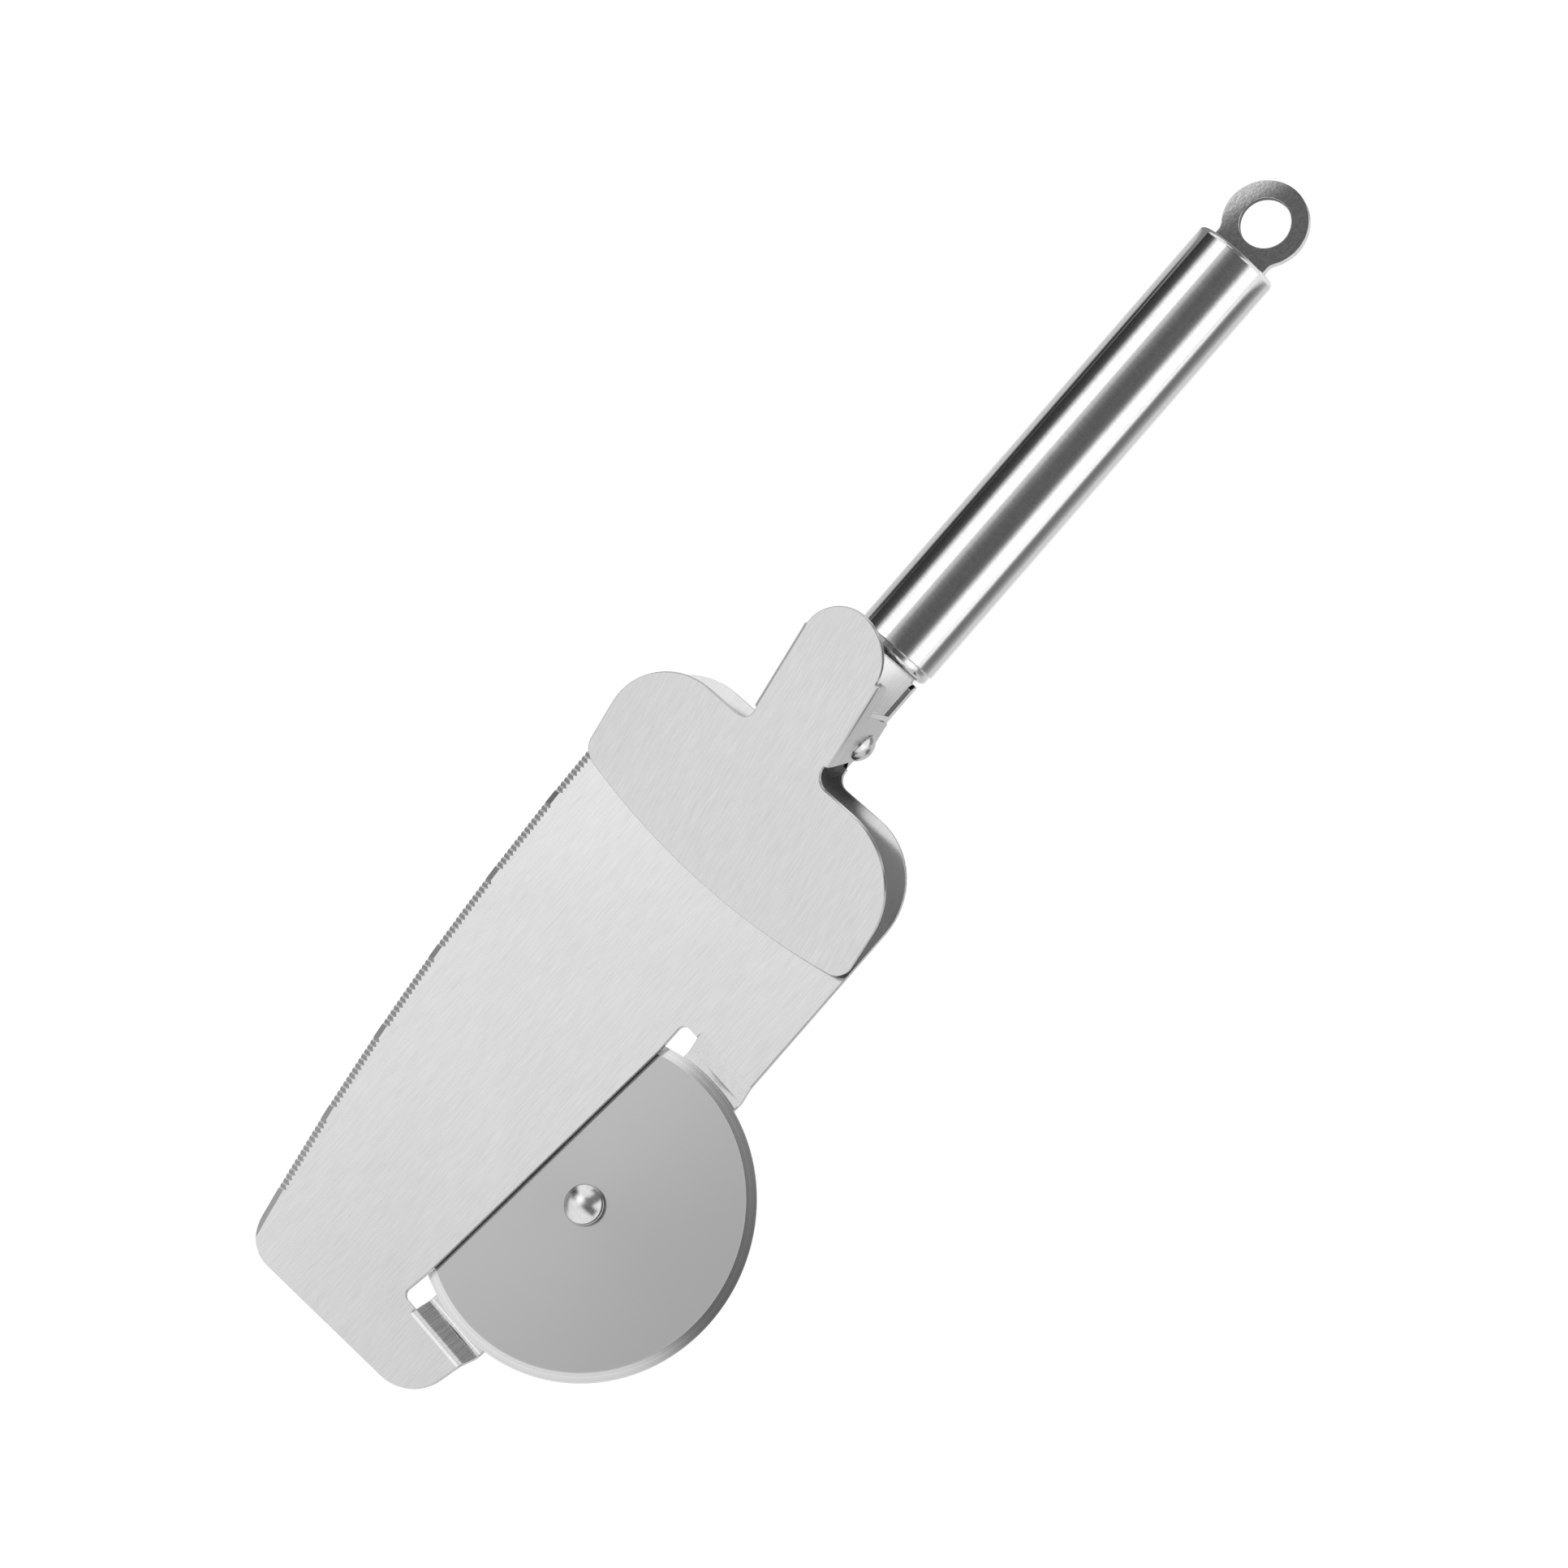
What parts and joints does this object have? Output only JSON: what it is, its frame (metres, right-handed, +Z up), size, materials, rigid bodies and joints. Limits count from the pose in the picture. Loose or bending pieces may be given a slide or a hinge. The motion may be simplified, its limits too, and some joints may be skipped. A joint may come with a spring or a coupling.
{
  "type": "pizza cutter and server",
  "caption": "Pizza server in pressed steel with a serrated cutting edge, a cutting wheel set in a side slot, a sprung presser plate with a thumb tab, and a tubular handle with a hanging ring.",
  "frame": {"origin": "centre of the hanging hole, on the axis of the handle, in the middle of the ring's thickness", "axes": "+X along the handle towards the tip of the blade, +Y towards the side with the cutting wheel, +Z up, towards the presser plate and square to the blade"},
  "size_m": [0.3203, 0.1058, 0.0412],
  "materials": {
    "blade_steel": "brushed along its length",
    "tube_steel": "brushed round the tube",
    "cap_steel": "plain",
    "ring_steel": "satin",
    "plug_plastic": "matte",
    "wheel_steel": "turned, with a ground bevel",
    "washer_steel": "satin",
    "rivet_steel": "polished",
    "presser_steel": "brushed along its length",
    "pin_steel": "polished",
    "spring_steel": "drawn wire"
  },
  "bodies": {
    "tool": {"blade": "blade_steel", "handle_tube": "tube_steel", "end_cap": "cap_steel", "hang_ring": "ring_steel", "tang_plug": "plug_plastic", "wheel_rivet": "rivet_steel", "upper_washer": "washer_steel", "lower_washer": "washer_steel", "pivot_pin": "pin_steel", "torsion_spring": "spring_steel"},
    "wheel": {"cutting_wheel": "wheel_steel"},
    "presser": {"presser": "presser_steel"}
  },
  "joints": [
    {"name": "wheel_spin", "type": "hinge", "parent": "tool", "child": "wheel", "pos_m": [0.2541, 0.0283, -0.004], "axis": [0, 0, 1], "continuous": true},
    {"name": "presser_hinge", "type": "hinge", "parent": "tool", "child": "presser", "pos_m": [0.1411, 0, 0.0078], "axis": [0, -1, 0], "range_deg": [0, 41], "stiffness_Nm_per_rad": 0.3, "springref_deg": -28.65, "deforming": ["torsion_spring"]}
  ]
}
